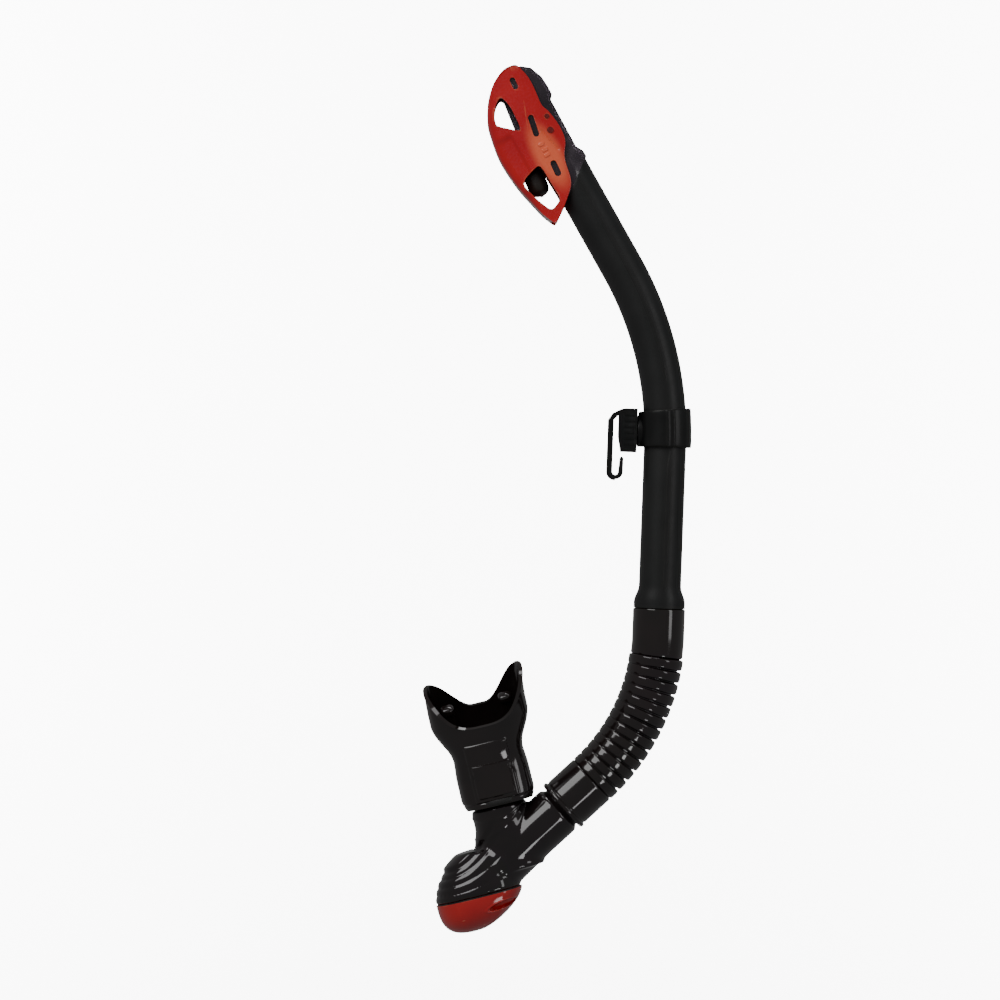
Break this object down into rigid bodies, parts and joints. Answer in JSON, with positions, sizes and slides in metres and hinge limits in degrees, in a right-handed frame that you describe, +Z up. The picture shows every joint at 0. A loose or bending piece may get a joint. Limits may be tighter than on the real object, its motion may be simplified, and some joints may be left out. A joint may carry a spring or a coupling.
{
  "type": "snorkel",
  "caption": "Dry-top snorkel: curved oval barrel, float-valve head, mask-strap keeper hook, corrugated hose, purge chamber and angled mouthpiece.",
  "frame": {"origin": "Centre of the round bend at the bottom of the keeper's hook, where the lower edge of a mask strap or a peg sits.", "axes": "+Z up along the barrel's straight lower part as worn, +X towards the back of the barrel, away from the head valve and the mouthpiece's lean, +Y across the barrel, away from the side that the mouthpiece turns to."},
  "size_m": [0.1329, 0.0485, 0.4426],
  "materials": {
    "barrel_black": "satin moulded black",
    "smoke_plastic": "smoke translucent",
    "red_plastic": "glossy translucent red",
    "black_rubber": "soft black",
    "silicone_black": "glossy brown-black silicone",
    "clear_silicone": "milky silicone",
    "keeper_black": "satin black",
    "steel": "turned",
    "gloss_black": "polished black"
  },
  "bodies": {
    "barrel": {"barrel_tube": "barrel_black", "head_shell": "smoke_plastic", "head_gasket": "black_rubber", "intake_seat": "smoke_plastic", "top_cover": "red_plastic", "cover_pins": "red_plastic", "float_pin": "steel"},
    "float": {"float_arm": "smoke_plastic", "float_bulb": "smoke_plastic", "seal_pad": "black_rubber"},
    "keeper": {"keeper_band": "keeper_black", "keeper_rivet": "steel"},
    "hook": {"keeper_hook": "keeper_black"},
    "hose": {"hose_upper_cuff": "silicone_black", "flex_hose": "silicone_black"},
    "chamber": {"hose_lower_cuff": "silicone_black", "purge_housing": "gloss_black", "purge_seat": "gloss_black", "cap_gasket": "black_rubber", "purge_cap": "red_plastic", "cap_screws": "steel"},
    "purge": {"purge_valve": "clear_silicone"},
    "mouth": {"mouthpiece": "silicone_black", "mouthpiece_clamp": "keeper_black"}
  },
  "joints": [
    {"name": "float_swing", "type": "hinge", "parent": "barrel", "child": "float", "pos_m": [-0.06395, 0, 0.19154], "axis": [0, -1, 0], "range_deg": [0, 8]},
    {"name": "keeper_slide", "type": "hinge", "parent": "barrel", "child": "keeper", "pos_m": [-0.1475, 0, 0.0146], "axis": [0, -1, 0], "range_deg": [0, 20]},
    {"name": "keeper_swivel", "type": "hinge", "parent": "keeper", "child": "hook", "pos_m": [0.008, 0, 0.0213], "axis": [1, 0, 0], "range_deg": [-40, 40]},
    {"name": "hose_swivel", "type": "hinge", "parent": "barrel", "child": "hose", "pos_m": [0.025, 0, -0.075], "axis": [0, 0, 1], "range_deg": [-45, 45]},
    {"name": "hose_flex", "type": "hinge", "parent": "hose", "child": "chamber", "pos_m": [0.01479, 0, -0.12794], "axis": [0, -1, 0], "range_deg": [-14, 25], "stiffness_Nm_per_rad": 2, "deforming": ["flex_hose"]},
    {"name": "mouthpiece_swivel", "type": "hinge", "parent": "chamber", "child": "mouth", "pos_m": [-0.0523, 0, -0.1715], "axis": [-0.2672, 0, 0.9636], "range_deg": [-30, 30]},
    {"name": "purge_lift", "type": "slide", "parent": "chamber", "child": "purge", "axis": [0.2756, 0, -0.9613], "range_m": [0, 0.0014], "stiffness_N_per_m": 60}
  ]
}
